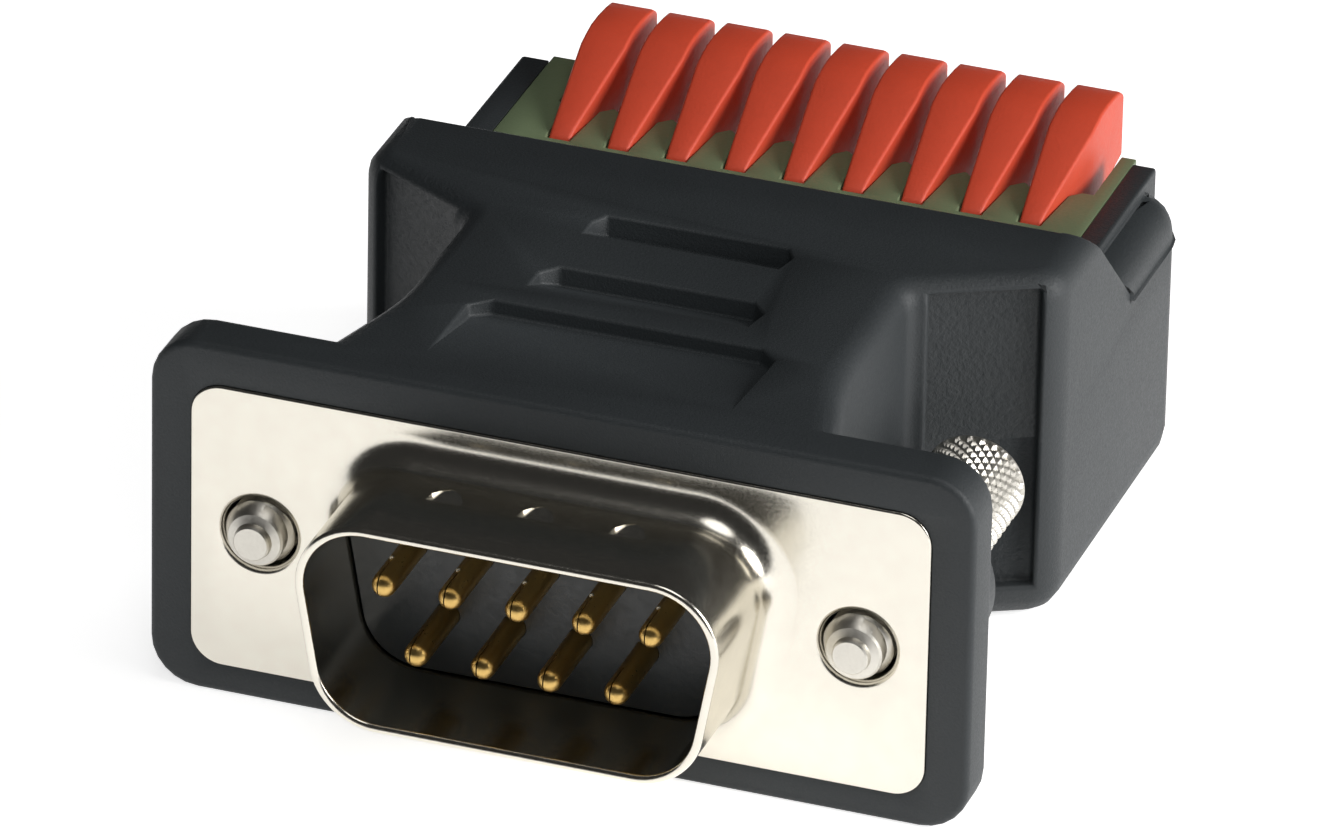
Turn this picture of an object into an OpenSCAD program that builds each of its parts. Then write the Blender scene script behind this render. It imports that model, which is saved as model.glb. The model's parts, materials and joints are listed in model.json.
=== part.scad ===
// Nine-way D plug to lever terminal adapter.
// X runs across the plug, +Y from the plug towards the wire entries, +Z up.
// The origin is the centre of the front face of the metal plug plate.

/* [Metal plug] */
// Distance from the end pins of the upper row to the inside of the D collar
pin_side = 2.86; // [2.8:0.01:2.92]
// Distance from the inside of the D collar to a jackscrew's axis
screw_side = 4.095; // [3.9:0.005:4.3]
// Distance from a jackscrew's axis to the end of the metal plate
plate_end = 2.91; // [2.7:0.01:3.1]
// Height of the metal plate
plate_h = 12.55; // [12.2:0.01:12.8]
// Thickness of the metal plate
plate_t = 0.5; // [0.4:0.05:0.6]
// Corner radius of the metal plate
plate_r = 1.35; // [0.8:0.05:1.8]
// Inside height of the D collar
collar_h = 8.25; // [8.1:0.01:8.4]
// Inside corner radius of the D collar
collar_r = 2.5; // [2.2:0.05:2.7]
// Wall of the D collar
collar_wall = 0.38; // [0.3:0.01:0.45]
// How far the D collar stands out of the plate
collar_depth = 5.9; // [5.6:0.05:6.2]
// Lean of the short sides of the D
collar_lean = 10; // [8:1:12]
// Radius of the drawn root between collar and plate
root_r = 1.25; // [0.5:0.05:1.4]

/* [Contacts] */
// Diameter of a contact pin
pin_d = 1.02; // [0.98:0.01:1.06]
// Spacing of the pins along a row
pin_pitch = 2.77; // [2.7:0.01:2.8]
// Distance between the two rows
row_pitch = 2.84; // [2.76:0.01:2.9]
// How far the pin tips stand out of the plate
pin_reach = 4.9; // [4.5:0.05:5.2]
// Diameter of the part of a pin that sits in the insulators
barrel_d = 1.5; // [1.3:0.05:1.6]
// Diameter of the solder tails
tail_d = 0.7; // [0.6:0.05:0.8]

/* [Thumbscrews] */
// Thread diameter of a jackscrew
thread_d = 2.845; // [2.7:0.005:2.9]
// Diameter of the shank behind the thread
shank_d = 2.1; // [1.9:0.05:2.2]
// How far the screw tip stands out of the plate
tip_out = 0.95; // [0.5:0.05:1.5]
// Diameter of the knurled head
head_d = 4.2; // [3.8:0.05:4.4]
// Length of the knurled head
head_l = 7.9; // [6:0.1:8.2]
// Outside diameter of the boss that holds a screw
boss_d = 7.2; // [6.4:0.1:7.6]
// Length of that boss behind the flange
boss_l = 3.95; // [3.4:0.05:4.2]

/* [Housing] */
// Width of the moulded frame beside the metal plate
frame_rim = 1.77; // [1.2:0.01:2.2]
// Height of the flange above the pin axis
flange_top = 8; // [7.6:0.1:9]
// Depth of the flange below the pin axis
flange_drop = 7.6; // [7.5:0.1:8.2]
// Thickness of the flange behind its front face
flange_t = 2.35; // [2.1:0.05:2.8]
// Corner radius of the flange
flange_r = 2; // [1:0.1:2.4]
// How far the moulded frame sits behind the metal plate
frame_back = 0.1; // [0:0.02:0.2]
// Room between the neck and the head of a thumbscrew
head_side = 0.995; // [0.8:0.005:1.2]
// Extra width of the neck where it leaves the flange
neck_flare = 2.6; // [1:0.1:3]
// Width of the ledge beside the wider cheek
ledge_w = 0.8; // [0.7:0.05:1.2]
// Rise of a shoulder for each unit of width
shoulder_slope = 0.533; // [0.4:0.01:0.6]
// How far the top deck reaches over the terminal block
deck_lap = 1; // [0.4:0.1:1.8]
// Radius along the edges of the deck
edge_r = 1.1; // [0.4:0.05:1.3]
// Radius along the edges of the underside
foot_r = 1.5; // [0.4:0.05:1.6]
// General wall
wall = 1.2; // [1:0.05:1.3]
// Floor under the circuit board
floor_t = 0.8; // [0.6:0.05:1]
// Height of the joint between the two shells
split_z = 0.6; // [-0.4:0.1:1]
// Height of the ledge outside the cheeks
ledge_z = 4.3; // [3.4:0.1:4.5]
// Radius along the edges of the ledge
ledge_r = 1.4; // [0.6:0.1:1.6]
// Length of the ramp that drops from the deck to the ledge
ramp_l = 5.3; // [4:0.1:6.4]
// Thickness of the left and the right cheek beside the terminal block
cheek_t = [1.22, 0.97];
// How far the cheeks stand out behind the housing
cheek_out = 0.4; // [0.1:0.05:0.6]
// Depth of the rough thumb recess in each shoulder
recess_t = 0.6; // [0.3:0.05:0.8]
// Depth of the first, second and third grip step
grip_depths = [0.7, 0.9, 1.0];

/* [Terminal block] */
// Spacing of the poles
pitch = 2.54; // [2.5:0.01:2.56]
// Height of the block's top above the pin axis
block_top = 4.7; // [4.2:0.1:5.2]
// Distance from the start of the shoulders to the block
block_set = 5.75; // [5.7:0.05:6.2]
// Length of the block
block_l = 14.3; // [14:0.05:15]
// How far the block stands out behind the housing
block_out = 0.8; // [0.5:0.05:1.2]
// Length of the open channel under the lever heads
channel_l = 3.65; // [3.5:0.05:4]
// Height of the channel floor under the lever heads
channel_z = 1.3; // [1:0.05:1.5]
// Distance from the first and the last pole to the ends of the block
block_ends = [2.72, 2.35];
// Thickness of the left and the right end wall
end_walls = [1.6, 0.66];
// Width of a wire entry at its mouth
entry_w = 1.9; // [1.6:0.05:2]
// Height of a wire entry at its mouth
entry_h = 2.2; // [2:0.05:2.4]
// Height of the wire axis
wire_z = -1.2; // [-1.4:0.05:-1]

/* [Levers] */
// Width of a lever's stem at the hinge
stem_w = 0.9; // [0.8:0.01:0.96]
// Width of a lever's head at its rear
lever_w = 1.84; // [1.6:0.02:2]
// Height of the lever's crown above the pin axis
crown_z = 6.85; // [6.4:0.05:7.4]
// Distance from the crown of a lever to its rear end
head_back = 2.85; // [2.2:0.05:3.4]
// Diameter of the hinge pin moulded on a lever
hinge_d = 1; // [0.9:0.01:1.1]
// Diameter of the root round the hinge pin
root_d = 1.8; // [1.6:0.05:2]
// Radial clearance of the hinge
hinge_gap = 0.05; // [0.03:0.01:0.08]

/* [Springs and board] */
// Thickness of the clamp springs
spring_t = 0.22; // [0.18:0.01:0.26]
// Width of the clamp springs
spring_w = 1.5; // [1.3:0.05:1.6]
// Thickness of the terminal contacts
contact_t = 0.4; // [0.3:0.02:0.44]
// Width of the terminal contacts
contact_w = 1.5; // [1.3:0.05:1.6]
// Thickness of the circuit board
board_t = 1.6; // [1.5:0.05:1.7]

/* [Hidden] */
$fn = 48;

// Clearances
fit = 0.05;
seat = 0.02;
slack = 0.1;
cut = 1;

// Heights and depths that several pieces share
floor_z = -flange_drop + floor_t;
rib_h = 0.5;
board_z = floor_z + rib_h;
board_top = board_z + board_t;
tail_end = board_z - 0.35;
ceiling_z = flange_top - wall;
flange_back = frame_back + flange_t;
bracket_y = plate_t + fit;
recess_y = bracket_y + plate_t + slack;
poles = 9;
upper_pins = 5;

// Widths that follow from the pins and the screws
collar_w = (upper_pins - 1) * pin_pitch + 2 * pin_side;
screw_x = collar_w / 2 + screw_side;
plate_w = 2 * (screw_x + plate_end);
neck_w = 2 * (screw_x - head_d / 2 - head_side);
dent_pitch = 3.8;

// Places along the housing, from the flange back
lip_y = flange_back + boss_l - 1.2;
boss_y = flange_back + boss_l;
head_y = boss_y + 0.5;
shoulder_y = head_y + head_l + fit;
block_front = shoulder_y + block_set;
block_rear = block_front + block_l;
body_end = block_rear - block_out;
deck_end = block_front + deck_lap;
ramp_end = deck_end + ramp_l;
comb_end = block_rear - channel_l;
grip_rears = [for (d = [5.35, 8.95, 13.8]) flange_back + d];
grip_lengths = [5.2, 2.1, 1.9];

// Left and right limits of the block, its lever channel, its bay and the cheeks
end_pole = (poles - 1) / 2 * pitch;
block_x = [-end_pole - block_ends[0], end_pole + block_ends[1]];
channel_x = [block_x[0] + end_walls[0], block_x[1] - end_walls[1]];
bay_x = [block_x[0] - seat, block_x[1] + seat];
cheek_x = [bay_x[0] - cheek_t[0], bay_x[1] + cheek_t[1]];
bay_half = min(-bay_x[0], bay_x[1]);

// Rear body
ledge_root = ledge_z - ledge_r - 0.4;
flange_w = plate_w + 2 * frame_rim;
body_w = 2 * (max(-cheek_x[0], cheek_x[1]) + ledge_w);
body_r = [0.9, 1.7, 2];
shoulder_end = shoulder_y + shoulder_slope * (body_w - neck_w) / 2;
rear_room_y = shoulder_y + shoulder_slope * (max(-bay_x[0], bay_x[1]) - neck_w / 2) + wall + fit;
rib_w = 0.8;
rib_y = [shoulder_y - 0.25, body_end - 4.1];
post_d = 1.8;
post_x = neck_w / 2 - 2.6;
peg_d = 1.1;
peg_h = 1.6;
peg_x = body_w / 2 - 1;
peg_y = [block_front - 0.2, body_end - 3.1];

// Insulators and contacts
face_y = -1;
shoulder_t = recess_y - plate_t - fit;
rear_body_w = neck_w - 2 * wall - 0.4;
rear_body_h = 10.2;
rear_body_end = 8.5;
tail_bend = 0.8;
row_back = [rear_body_end + 4.2, rear_body_end + 1.4];

// Screws
eyelet_r = thread_d / 2 + 0.14;
eyelet_wall = 0.3;
eyelet_l = 0.85;
thread_end = lip_y - 1.3;
tip_profile = [[0.74, 0], [1, 0.2], [1.25, 0.55]];
tip_l = 1;

// Levers, springs and terminal contacts, in the plane of one pole
hinge_y = comb_end - 3.65;
hinge_z = channel_z + 0.1;
crown_y = hinge_y + 6.9;
lever_rear = crown_y + head_back;
nose_y = hinge_y + 0.5;
wide_y = hinge_y + 5.7;
heel_z = crown_z - 3.35;
slot_w = stem_w + 0.14;
foot_w = 0.7;
bus_z = hinge_z - root_d / 2 - 0.35;
bus_y = [hinge_y - 3.4, hinge_y + 5.5];
foot_y = hinge_y + 1.9;
tooth_flank = pitch / sqrt(2) - 0.08;
spring_seat_z = -3.6;
spring_r = 0.55;
spring_fold = [hinge_y - 1.15, spring_seat_z + spring_t / 2 + spring_r];
spring_bend_y = spring_fold[0] + 0.45;
spring_end_y = [hinge_y + 4.6, hinge_y + 2.9];
chamber_z = -3.75;
chamber_y = [hinge_y - 3.7, hinge_y + 5.7];

function unit(v) = v / norm(v);
function mirrored(half) =
    concat(half, [for (i = [len(half) - 1:-1:0]) [-half[i][0], half[i][1], half[i][2]]]);

// Points of a rounded corner at b, between a and c
function corner(a, b, c, r, n) =
    let (u = unit(a - b), v = unit(c - b), half = acos(u * v) / 2)
    let (centre = b + unit(u + v) * r / sin(half), p = b + u * r / tan(half), q = b + v * r / tan(half))
    let (from = atan2(p[1] - centre[1], p[0] - centre[0]), to = atan2(q[1] - centre[1], q[0] - centre[0]))
    let (sweep = (to - from + 900) % 360 - 180)
    [for (i = [0:n]) centre + r * [cos(from + sweep * i / n), sin(from + sweep * i / n)]];

// A closed outline from [x, y, radius] corners, anticlockwise
function outline(c, n = 5) = [
    for (i = [0:len(c) - 1])
        let (a = c[(i + len(c) - 1) % len(c)], b = c[i], d = c[(i + 1) % len(c)])
        each (b[2] == 0 ? [[b[0], b[1]]] : corner([a[0], a[1]], [b[0], b[1]], [d[0], d[1]], b[2], n))
];

// The same outline moved inwards by d
function inset(p, d) = [
    for (i = [0:len(p) - 1])
        let (a = p[(i + len(p) - 1) % len(p)], b = p[i], c = p[(i + 1) % len(p)])
        let (e = unit(b - a), f = unit(c - b), m = [-e[1], e[0]], n = [-f[1], f[0]])
        b + d * (m + n) / (1 + m * n)
];

// Rings of [height, inset] for a prism with rounded ends
function round_rings(z0, z1, r0, r1, n = 4) = concat(
    [for (i = [0:n]) [z0 + r0 * (1 - cos(90 * i / n)), r0 * (1 - sin(90 * i / n))]],
    [for (i = [n:-1:0]) [z1 - r1 * (1 - cos(90 * i / n)), r1 * (1 - sin(90 * i / n))]]
);

// A solid skinned over the rings of an outline that mirrored() made
module skin(p, rings) {
    n = len(p);
    last = (len(rings) - 1) * n;
    polyhedron(
        points = [for (r = rings) each [for (q = inset(p, r[1])) [q[0], q[1], r[0]]]],
        faces = concat(
            [for (i = [0:n / 2 - 2]) [i, i + 1, n - 2 - i, n - 1 - i]],
            [for (k = [0:len(rings) - 2], i = [0:n - 1])
                [k * n + i, (k + 1) * n + i, (k + 1) * n + (i + 1) % n, k * n + (i + 1) % n]],
            [for (i = [0:n / 2 - 2]) [last + n - 1 - i, last + n - 2 - i, last + i + 1, last + i]]
        )
    );
}

// Stands a flat shape up so that it reaches from y0 to y1
module along_y(y0, y1) {
    translate([0, y1, 0]) rotate([90, 0, 0]) linear_extrude(height = y1 - y0) children();
}

// Lays a shape drawn in Y and Z across the width w
module across(w) {
    rotate([90, 0, 90]) translate([0, 0, -w / 2]) linear_extrude(height = w) children();
}

// Lays a shape drawn in Y and Z between two places in X
module from_to(x0, x1) {
    translate([x0, 0, 0]) rotate([90, 0, 90]) linear_extrude(height = x1 - x0) children();
}

module box(lo, hi) {
    translate(lo) cube(hi - lo);
}

module rod(y0, y1, d) {
    translate([0, y1, 0]) rotate([90, 0, 0]) cylinder(d = d, h = y1 - y0);
}

module both_sides() {
    for (s = [-1, 1]) scale([s, 1, 1]) children();
}

module at_screws() {
    for (s = [-1, 1]) translate([s * screw_x, 0, 0]) children();
}

module at_pole(i) {
    translate([(i - (poles + 1) / 2) * pitch, 0, 0]) children();
}

module at_hinge() {
    translate([0, hinge_y, hinge_z]) rotate([0, 90, 0]) children();
}

// A strip of constant thickness that follows a path in Y and Z
function shifted(p, d) = [
    for (i = [0:len(p) - 1])
        let (e = unit(p[min(i + 1, len(p) - 1)] - p[min(i, len(p) - 2)]))
        let (f = unit(p[max(i, 1)] - p[max(i - 1, 0)]))
        let (m = [-e[1], e[0]], n = [-f[1], f[0]])
        p[i] + d * (m + n) / (1 + m * n)
];
function strip(p, t) =
    let (a = shifted(p, t / 2), b = shifted(p, -t / 2))
    concat(a, [for (i = [len(b) - 1:-1:0]) b[i]]);

// Outlines

function plate_outline(w, h, r) = outline(mirrored([[w / 2, -h / 2, r], [w / 2, h / 2, r]]), 6);

// The D, wide side up, grown outwards by g
function d_outline(g) =
    let (h = collar_h / 2 + g, r = collar_r + g, lean = tan(collar_lean) * 2 * h)
    let (w = collar_w / 2 - collar_r + r / tan((90 - collar_lean) / 2))
    outline(mirrored([[w - lean, -h, r], [w, h, r]]), 8);

body_plan = outline(mirrored([
    [neck_w / 2 + neck_flare / 2 + 0.7, flange_back - 2.3, 0],
    [neck_w / 2 + neck_flare / 2, flange_back, 0],
    [neck_w / 2, flange_back + 4.6, 12],
    [neck_w / 2, shoulder_y, body_r[0]],
    [body_w / 2, shoulder_end, body_r[1]],
    [body_w / 2, body_end, body_r[2]]
]));

// Housing

// Three shallow steps in the deck, each with an upright rear wall and a floor that rises to the front
module grip_steps() {
    half_rear = [5.65, 4.1, 3.85];
    half_front = [6.4, 4.7, 4.2];
    for (i = [0:2]) intersection() {
        translate([0, 0, flange_top - 2]) linear_extrude(height = 3) polygon([
            [-half_front[i], grip_rears[i] - grip_lengths[i] - 0.2],
            [half_front[i], grip_rears[i] - grip_lengths[i] - 0.2],
            [half_front[i], grip_rears[i] - 0.7], [half_rear[i], grip_rears[i]],
            [-half_rear[i], grip_rears[i]], [-half_front[i], grip_rears[i] - 0.7]
        ]);
        across(body_w) polygon([
            [grip_rears[i] - grip_lengths[i], flange_top], [grip_rears[i], flange_top - grip_depths[i]],
            [grip_rears[i] + cut, flange_top - grip_depths[i]], [grip_rears[i] + cut, flange_top + cut],
            [grip_rears[i] - grip_lengths[i], flange_top + cut]
        ]);
    }
}

// Everything that is open above the terminal block and outside the cheeks
module rear_opening() {
    box([cheek_x[0], deck_end, block_top], [cheek_x[1], body_end + cut, flange_top + cut]);
    difference() {
        across(body_w + cut) polygon([
            [deck_end, flange_top + cut], [deck_end, flange_top],
            [ramp_end, ledge_z - ledge_r], [ramp_end, ledge_root], [body_end + cut, ledge_root],
            [body_end + cut, flange_top + cut]
        ]);
        box([cheek_x[0], 0, -flange_drop], [cheek_x[1], body_end + 2 * cut, flange_top + 2 * cut]);
    }
}

module body_outer() {
    difference() {
        skin(body_plan, round_rings(-flange_drop, flange_top, foot_r, edge_r));
        rear_opening();
        grip_steps();
    }
    // The two ledges, round along their edges
    difference() {
        skin(inset(body_plan, 0.01), concat(
            [[split_z + slack, 0]],
            [for (a = [0:18:90]) [ledge_z - ledge_r * (1 - sin(a)), ledge_r * (1 - cos(a))]]
        ));
        box([-body_w, -cut, 0], [body_w, (deck_end + ramp_end) / 2, flange_top]);
        box([cheek_x[0] + slack, 0, 0], [cheek_x[1] - slack, body_end + cut, flange_top]);
    }
    for (s = [0, 1]) box([min(bay_x[s], cheek_x[s]), deck_end - cut, floor_z],
        [max(bay_x[s], cheek_x[s]), body_end + cheek_out, block_top]);
    translate([0, flange_back, 0]) rotate([90, 0, 0])
        translate([0, (flange_top - flange_drop) / 2, 0])
            skin(plate_outline(flange_w, flange_top + flange_drop, flange_r),
                round_rings(0, flange_t, 0.4, 0.3));
    at_screws() rod(flange_back - slack, boss_y, boss_d);
}

// The rooms inside the housing, and the openings into them
module body_rooms() {
    along_y(-cut, recess_y) polygon(plate_outline(plate_w + 2 * seat, plate_h + 2 * seat, plate_r + seat));
    box([-neck_w / 2 + wall, 0, -rear_body_h / 2 - fit],
        [neck_w / 2 - wall, flange_back + fit, rear_body_h / 2 + fit]);
    box([-neck_w / 2 + wall, flange_back, floor_z], [neck_w / 2 - wall, rear_room_y + cut, ceiling_z]);
    box([bay_x[0], rear_room_y, floor_z], [bay_x[1], deck_end - wall, ceiling_z]);
    box([bay_x[0], rear_room_y, floor_z], [bay_x[1], body_end + cut, block_top]);
    box([bay_x[0], deck_end, floor_z], [bay_x[1], body_end + cut, flange_top + cut]);
    at_screws() {
        rod(0, lip_y, thread_d + 0.16);
        rod(lip_y - fit, boss_y + cut, shank_d + 0.14);
        rod(0, plate_t + eyelet_l + slack, 2 * (eyelet_r + eyelet_wall + fit));
    }
    both_sides() shoulder_recess();
}

// Rough thumb recess in the front of a shoulder
module shoulder_recess() {
    run = (body_w - neck_w) / 2;
    angle = atan(shoulder_slope);
    face_l = run / cos(angle);
    translate([neck_w / 2, shoulder_y, 0]) rotate([0, 0, angle])
        box([0.8, -cut, -flange_drop + foot_r + 0.2], [face_l - 0.85, recess_t, flange_top - 0.53]);
}

// Ribs in the floor that carry the board
module board_ribs() {
    half = neck_w / 2 - wall - slack;
    for (y = rib_y) box([-half, y, floor_z - slack], [half, y + rib_w, board_z]);
    both_sides() box([bay_half - 1.7 * rib_w, rear_room_y + 1, floor_z - slack],
        [bay_half - 0.7 * rib_w, body_end - 1, board_z]);
}

// Posts under the deck that hold the board down
module board_posts() {
    both_sides() translate([post_x, rear_room_y + 1, board_top])
        cylinder(d = post_d, h = ceiling_z - board_top + slack);
}

module locating_pegs(gap) {
    both_sides() for (y = peg_y)
        translate([peg_x, y, split_z - cut]) cylinder(d = peg_d + 2 * gap, h = peg_h + gap + cut);
}

module upper_shell() {
    color("#2b2f31") {
        difference() {
            intersection() {
                body_outer();
                box([-flange_w, -cut, split_z], [flange_w, 2 * body_end, 2 * flange_top]);
            }
            body_rooms();
            locating_pegs(fit);
        }
        board_posts();
    }
}

module lower_shell() {
    color("#2b2f31") {
        difference() {
            intersection() {
                body_outer();
                box([-flange_w, -cut, -2 * flange_drop], [flange_w, 2 * body_end, split_z]);
            }
            body_rooms();
        }
        locating_pegs(0);
        board_ribs();
    }
}

// Metal plug

module plug_shell() {
    color("#c9c5bb") difference() {
        union() {
            along_y(0, plate_t) polygon(plate_outline(plate_w, plate_h, plate_r));
            rotate([90, 0, 0]) skin(d_outline(collar_wall), concat(
                [for (i = [0:4]) [root_r * (1 - cos(90 * i / 4)) - fit * (i == 0 ? 1 : 0),
                    -root_r * (1 - sin(90 * i / 4))]],
                [[collar_depth - 0.1, 0], [collar_depth, 0.06]]
            ));
            at_screws() rod(plate_t - fit, plate_t + eyelet_l, 2 * (eyelet_r + eyelet_wall));
        }
        along_y(-collar_depth - cut, plate_t + cut) polygon(d_outline(0));
        at_screws() rod(-cut, plate_t + eyelet_l + cut, 2 * eyelet_r);
        at_screws() translate([0, plate_t, 0]) rotate([90, 0, 0])
            cylinder(r1 = eyelet_r, r2 = eyelet_r + 0.26, h = plate_t + fit);
        for (s = [-1, 1], i = [-1:1])
            translate([i * dent_pitch, -2.9, s * (collar_h / 2 + collar_wall + 1.0)]) sphere(r = 1.22);
    }
}

module rear_bracket() {
    color("#b9b6ae") difference() {
        along_y(bracket_y, bracket_y + plate_t) polygon(plate_outline(plate_w - 0.6, plate_h - 0.6, plate_r));
        along_y(0, recess_y) polygon(d_outline(0.9));
        at_screws() rod(0, recess_y, 2 * (eyelet_r + eyelet_wall + fit));
    }
}

// The pins' places: five in the upper row, four in the lower one, numbered from the left seen from the front
function pin_x(i) = i <= upper_pins ? (i - 3) * pin_pitch : (i - 7.5) * pin_pitch;
function pin_z(i) = i <= upper_pins ? row_pitch / 2 : -row_pitch / 2;
function tail_y(i) = i <= upper_pins ? row_back[0] : row_back[1];

module at_pins() {
    for (i = [1:poles]) translate([pin_x(i), 0, pin_z(i)]) children();
}

module front_insulator() {
    color("#26282a") difference() {
        union() {
            along_y(face_y, plate_t) polygon(d_outline(-fit));
            along_y(plate_t, plate_t + shoulder_t) polygon(d_outline(0.8));
        }
        at_pins() rod(face_y - cut, recess_y + cut, barrel_d + 2 * fit);
    }
}

module rear_insulator() {
    color("#26282a") difference() {
        box([-rear_body_w / 2, plate_t + shoulder_t, -rear_body_h / 2],
            [rear_body_w / 2, rear_body_end, rear_body_h / 2]);
        at_pins() rod(0, 2.6, barrel_d + 2 * fit);
        at_pins() rod(0, rear_body_end + cut, tail_d + 2 * fit);
    }
}

module contact_pin(i) {
    run = tail_y(i) - tail_bend;
    drop = pin_z(i) - tail_bend - tail_end;
    color("#c9a24a") translate([pin_x(i), 0, pin_z(i)]) {
        rod(-pin_reach + pin_d / 2, face_y, pin_d);
        translate([0, -pin_reach + pin_d / 2, 0]) sphere(d = pin_d);
        rod(face_y, 2.5, barrel_d);
        rod(2.4, run, tail_d);
        translate([0, run, -tail_bend]) rotate([0, 90, 0]) rotate([0, 0, 90])
            rotate_extrude(angle = 90) translate([tail_bend, 0]) circle(d = tail_d);
        translate([0, tail_y(i), -tail_bend - drop]) cylinder(d = tail_d, h = drop);
    }
}

// Thumbscrews

module thumbscrew(s) {
    thread_r = thread_d / 2;
    color("#bdbab2") translate([s * screw_x, 0, 0]) rotate([-90, 0, 0]) rotate_extrude() polygon([
        [0, -tip_out],
        for (p = tip_profile) [p[0], p[1] - tip_out],
        [thread_r, tip_l - tip_out], [thread_r, thread_end],
        [shank_d / 2, thread_end + 0.35], [shank_d / 2, head_y],
        [head_d / 2 - 0.3, head_y], [head_d / 2, head_y + 0.3], [head_d / 2, head_y + head_l - 0.35],
        [head_d / 2 - 0.35, head_y + head_l], [0, head_y + head_l]
    ]);
}

// Circuit board

module circuit_board() {
    neck_half = neck_w / 2 - wall - 0.2;
    rear_half = bay_half - 0.25;
    color("#1f5a3a") difference() {
        translate([0, 0, board_z]) linear_extrude(height = board_t) polygon(outline([
            [-neck_half, rear_body_end + 0.2, 0.3], [neck_half, rear_body_end + 0.2, 0.3],
            [neck_half, rear_room_y + 0.2, 0], [rear_half, rear_room_y + 0.2, 0.5],
            [rear_half, body_end - 0.5, 0.5], [-rear_half, body_end - 0.5, 0.5],
            [-rear_half, rear_room_y + 0.2, 0.5], [-neck_half, rear_room_y + 0.2, 0]
        ]));
        for (i = [1:poles]) translate([pin_x(i), tail_y(i), floor_z - cut])
            cylinder(d = tail_d + 0.2, h = board_t + 2 * cut);
        for (i = [1:poles]) at_pole(i) translate([0, bus_y[0], floor_z - cut])
            cylinder(d = 1.05, h = board_t + 2 * cut);
    }
}

// Terminal block

module pole_cut() {
    // Slot for the lever's stem, open to the top and to the channel, and wider towards the rear
    intersection() {
        translate([0, 0, -block_top]) linear_extrude(height = 3 * block_top)
            polygon(lever_top((slot_w - stem_w) / 2));
        across(pitch) polygon([
            [hinge_y - root_d / 2 - fit, hinge_z], [nose_y - 0.25, block_top - 0.3],
            [nose_y - 0.2, block_top + cut], [comb_end + cut, block_top + cut], [comb_end + cut, channel_z],
            [comb_end - 0.6, channel_z], [comb_end - 1.2, bus_z - 0.4], [hinge_y, bus_z - 0.4]
        ]);
    }
    at_hinge() cylinder(d = root_d + 4 * fit, h = slot_w, center = true);
    at_hinge() cylinder(d = hinge_d + 2 * hinge_gap, h = slot_w + 1, center = true);
    // Chamber for the spring and the contact
    box([-contact_w / 2 - fit, chamber_y[0], chamber_z],
        [contact_w / 2 + fit, chamber_y[1], bus_z + contact_t / 2 + 0.02]);
    // Wire entry, a funnel that opens to the rear
    translate([0, chamber_y[1] - slack, wire_z]) box([-0.75, 0, -0.75], [0.75, 2, 0.75]);
    translate([0, block_rear - 0.9, wire_z]) rotate([-90, 0, 0])
        linear_extrude(height = 1.5, scale = 1.35) square([entry_w * 0.82, entry_h * 0.82], center = true);
    // Way down for the contact's solder tail
    box([-0.55, bus_y[0] - 0.35, board_top - cut], [0.55, bus_y[0] + 0.35, chamber_z + cut]);
}

module terminal_block() {
    color("#5f7350") difference() {
        union() {
            from_to(block_x[0], block_x[1]) polygon([
                [block_front, board_top], [block_rear, board_top], [block_rear, channel_z],
                [comb_end, channel_z], [comb_end, block_top], [block_front, block_top]
            ]);
            for (x = [[block_x[0], channel_x[0]], [channel_x[1], block_x[1]]])
                box([x[0], comb_end - slack, board_top], [x[1], block_rear, block_top]);
        }
        for (i = [1:poles]) at_pole(i) pole_cut();
        // The comb's teeth are chamfered where they meet the channel
        intersection() {
            for (i = [1:poles]) at_pole(i) translate([0, comb_end, (block_top + channel_z + cut) / 2])
                rotate([0, 0, 45])
                    cube([tooth_flank, tooth_flank, block_top - channel_z + cut], center = true);
            box([channel_x[0], block_front, 0], [channel_x[1], block_rear, block_top + cut]);
        }
    }
}

// Levers

// Side view of a lever: a thin stem that leans back into a broad head with a low crown
lever_side = outline([
    [hinge_y - 0.62, hinge_z + 0.5, 0],
    [nose_y, block_top + 0.05, 0.15],
    [crown_y, crown_z, 3],
    [lever_rear - 0.5, crown_z - 0.25, 0.5],
    [lever_rear, crown_z - 0.65, 0.2],
    [lever_rear, heel_z, 0.35],
    [comb_end + 0.5, channel_z + 1.1, 0.4],
    [hinge_y + 1.6, hinge_z - 0.25, 0],
    [hinge_y + 0.4, hinge_z - 0.75, 0]
]);

// Top view of a lever, grown by g: it widens from the stem to the head
function lever_top(g) = outline(mirrored([
    [stem_w / 2 + g, hinge_y - root_d, 0],
    [stem_w / 2 + g, nose_y, 2],
    [lever_w / 2 + g, wide_y, 2],
    [lever_w / 2 + g, lever_rear, g > 0 ? 0 : 0.22]
]));

module lever(i) {
    color("#d9512f") at_pole(i) {
        intersection() {
            across(lever_w + cut) polygon(lever_side);
            translate([0, 0, -cut]) linear_extrude(height = crown_z + 2 * cut) polygon(lever_top(0));
        }
        at_hinge() cylinder(d = root_d, h = stem_w, center = true);
        at_hinge() cylinder(d = hinge_d, h = slot_w + 0.9, center = true);
        // Foot that reaches through the contact's window to the spring
        across(foot_w) polygon([
            [hinge_y + 0.7, hinge_z], [foot_y + 0.5, hinge_z + 0.1], [foot_y + 0.35, bus_z - 1.05],
            [foot_y, bus_z - 1.27], [foot_y - 0.35, bus_z - 1.05]
        ]);
    }
}

// Clamp springs and terminal contacts

spring_path = concat(
    [[spring_end_y[0], bus_z - 0.55], [spring_bend_y, spring_fold[1] + spring_r - 0.07]],
    [for (a = [105:15:255]) spring_fold + spring_r * [cos(a), sin(a)]],
    [[spring_bend_y, spring_seat_z + spring_t / 2], [spring_end_y[1], spring_seat_z + spring_t / 2]]
);

module clamp_spring(i) {
    color("#cfcfcf") at_pole(i) across(spring_w) polygon(strip(spring_path, spring_t));
}

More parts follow.
